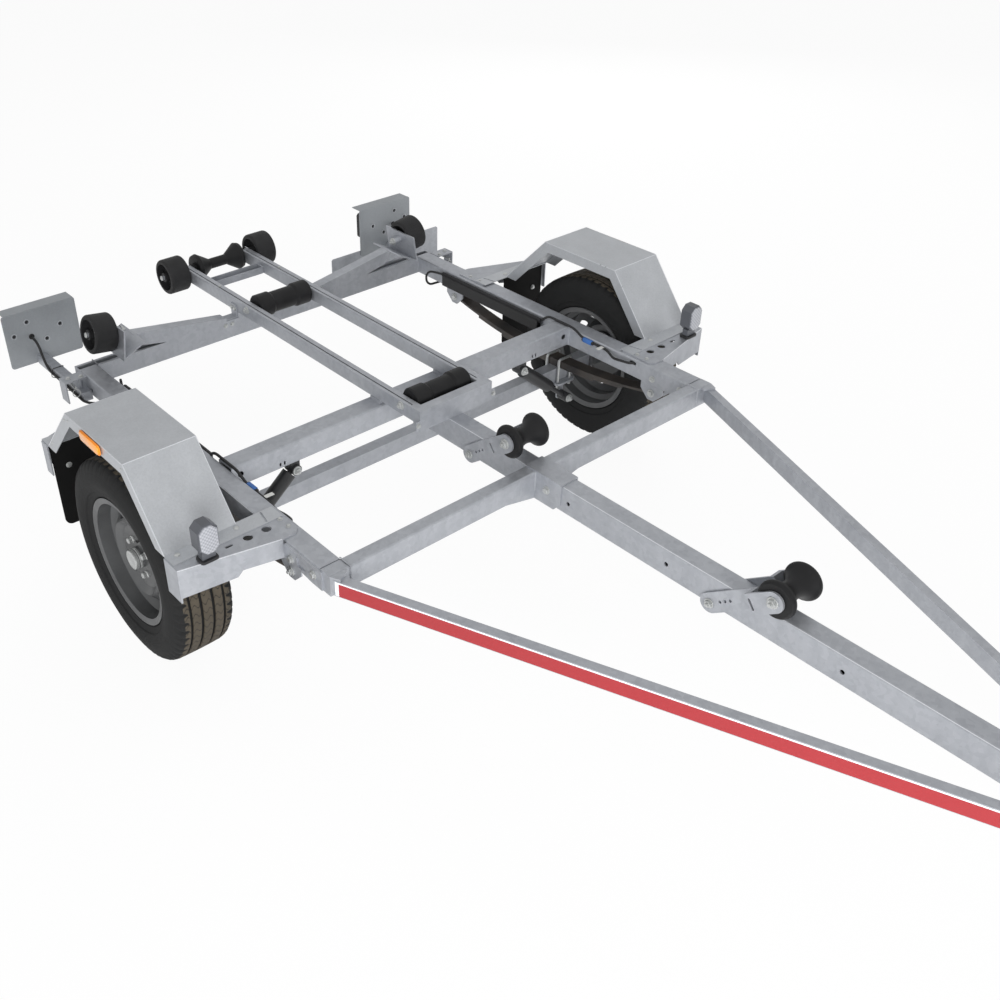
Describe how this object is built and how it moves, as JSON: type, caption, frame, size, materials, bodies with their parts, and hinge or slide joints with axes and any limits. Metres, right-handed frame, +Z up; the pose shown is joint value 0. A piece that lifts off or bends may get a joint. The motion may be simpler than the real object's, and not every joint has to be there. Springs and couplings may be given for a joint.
{
  "type": "boat trailer",
  "caption": "Single-axle roller trailer for a small boat: central drawbar with side struts, leaf-sprung axle, keel cradle with rollers, winch post and jockey wheel.",
  "frame": {"origin": "on the floor under the middle of the whole trailer, on its centre line", "axes": "-Y towards the coupling, +X to the trailer's own left-hand side, +Z up"},
  "size_m": [1.914, 3.915, 0.89],
  "materials": {
    "cable_sheath": "black cable sheath",
    "damper_paint": "dark painted damper tube",
    "flap_rubber": "black rubber sheet",
    "galvanised_sheet": "galvanised sheet, smooth and slightly brighter",
    "galvanised_steel": "hot-dip galvanised, dull with faint spangle",
    "jockey_rubber": "grey-black solid rubber",
    "lamp_housing": "black lamp housing",
    "lamp_lens": "clear-white lamp lens on a black base",
    "roller_rubber": "black roller rubber, matt with scuffs",
    "spring_steel": "dark painted spring steel",
    "tyre": "matt black tyre rubber",
    "wheel_paint": "silver-grey wheel paint, satin"
  },
  "bodies": {
    "trailer": {"axle_beam": "galvanised_steel", "bolster_arm_left": "galvanised_steel", "bolster_arm_right": "galvanised_steel", "bow_stop": "roller_rubber", "cable_ducts": "cable_sheath", "cable_left": "cable_sheath", "cable_right": "cable_sheath", "coupling_head": "galvanised_steel", "cradle_front_bar": "galvanised_steel", "cradle_rail_left": "galvanised_steel", "cradle_rail_right": "galvanised_steel", "cradle_rear_bar": "galvanised_steel", "dampers": "damper_paint", "drawbar": "galvanised_steel", "front_crossmember": "galvanised_steel", "jockey_tube": "galvanised_steel", "keel_bracket_front": "galvanised_steel", "keel_bracket_rear": "galvanised_steel", "lamp_arms": "galvanised_steel", "leaf_spring_left": "spring_steel", "leaf_spring_right": "spring_steel", "light_board_left": "galvanised_sheet", "light_board_right": "galvanised_sheet", "mid_crossmember": "galvanised_steel", "mud_flaps": "flap_rubber", "mudguard_front_brackets": "galvanised_steel", "mudguard_left": "galvanised_sheet", "mudguard_rear_brackets": "galvanised_steel", "mudguard_right": "galvanised_sheet", "number_plate_holder": "galvanised_steel", "position_lamps": "lamp_lens", "rear_crossmember": "galvanised_steel", "roller_shafts": "galvanised_steel", "side_rail_left": "galvanised_steel", "side_rail_right": "galvanised_steel", "spring_hangers": "galvanised_steel", "spring_plates": "galvanised_steel", "strut_left": "galvanised_steel", "strut_right": "galvanised_steel", "tail_lamps": "lamp_housing", "winch_post": "galvanised_steel"},
    "road_wheel_right": {"tyre_right": "tyre", "wheel_right": "wheel_paint"},
    "road_wheel_left": {"tyre_left": "tyre", "wheel_left": "wheel_paint"},
    "keel_roller_rear": {"keel_roller_rear": "roller_rubber"},
    "keel_roller_front": {"keel_roller_front": "roller_rubber"},
    "cradle_roller_front": {"cradle_roller_front": "roller_rubber"},
    "cradle_roller_middle": {"cradle_roller_middle": "roller_rubber"},
    "rear_keel_roller": {"rear_keel_roller": "roller_rubber"},
    "rear_roller_right": {"rear_roller_right": "roller_rubber"},
    "rear_roller_left": {"rear_roller_left": "roller_rubber"},
    "side_roller_right": {"side_roller_right": "roller_rubber"},
    "side_roller_left": {"side_roller_left": "roller_rubber"},
    "winch_drum": {"winch_drum": "galvanised_steel"},
    "jockey_leg": {"jockey_leg": "galvanised_steel"},
    "jockey_fork": {"jockey_fork": "galvanised_steel"},
    "jockey_wheel": {"jockey_wheel": "jockey_rubber"}
  },
  "joints": [
    {"name": "road_wheel_right_spin", "type": "hinge", "parent": "trailer", "child": "road_wheel_right", "pos_m": [-0.866, 0.8505, 0.288], "axis": [1, 0, 0], "continuous": true},
    {"name": "road_wheel_left_spin", "type": "hinge", "parent": "trailer", "child": "road_wheel_left", "pos_m": [0.866, 0.8505, 0.288], "axis": [1, 0, 0], "continuous": true},
    {"name": "keel_roller_rear_spin", "type": "hinge", "parent": "trailer", "child": "keel_roller_rear", "pos_m": [0, 0.3515, 0.536], "axis": [1, 0, 0], "continuous": true},
    {"name": "keel_roller_front_spin", "type": "hinge", "parent": "trailer", "child": "keel_roller_front", "pos_m": [0, -0.4805, 0.536], "axis": [1, 0, 0], "continuous": true},
    {"name": "cradle_roller_front_spin", "type": "hinge", "parent": "trailer", "child": "cradle_roller_front", "pos_m": [0, 0.6985, 0.524], "axis": [1, 0, 0], "continuous": true},
    {"name": "cradle_roller_middle_spin", "type": "hinge", "parent": "trailer", "child": "cradle_roller_middle", "pos_m": [0, 1.4935, 0.524], "axis": [1, 0, 0], "continuous": true},
    {"name": "rear_keel_roller_spin", "type": "hinge", "parent": "trailer", "child": "rear_keel_roller", "pos_m": [0, 1.8975, 0.524], "axis": [1, 0, 0], "continuous": true},
    {"name": "rear_roller_right_spin", "type": "hinge", "parent": "trailer", "child": "rear_roller_right", "pos_m": [-0.174, 1.8975, 0.524], "axis": [1, 0, 0], "continuous": true},
    {"name": "rear_roller_left_spin", "type": "hinge", "parent": "trailer", "child": "rear_roller_left", "pos_m": [0.174, 1.8975, 0.524], "axis": [1, 0, 0], "continuous": true},
    {"name": "side_roller_right_spin", "type": "hinge", "parent": "trailer", "child": "side_roller_right", "pos_m": [-0.607, 1.5725, 0.567], "axis": [-0.9877, 0, 0.1564], "continuous": true},
    {"name": "side_roller_left_spin", "type": "hinge", "parent": "trailer", "child": "side_roller_left", "pos_m": [0.607, 1.5725, 0.567], "axis": [0.9877, 0, 0.1564], "continuous": true},
    {"name": "winch_drum_spin", "type": "hinge", "parent": "trailer", "child": "winch_drum", "pos_m": [0, -1.5225, 0.726], "axis": [1, 0, 0], "continuous": true},
    {"name": "jockey_leg_slide", "type": "slide", "parent": "trailer", "child": "jockey_leg", "axis": [0, 0, 1], "range_m": [-0.1, 0.12]},
    {"name": "jockey_fork_spin", "type": "hinge", "parent": "jockey_leg", "child": "jockey_fork", "pos_m": [0.064, -1.6195, 0.25], "axis": [0, 0, 1], "continuous": true},
    {"name": "jockey_wheel_spin", "type": "hinge", "parent": "jockey_fork", "child": "jockey_wheel", "pos_m": [0.064, -1.5745, 0.1], "axis": [1, 0, 0], "continuous": true}
  ]
}
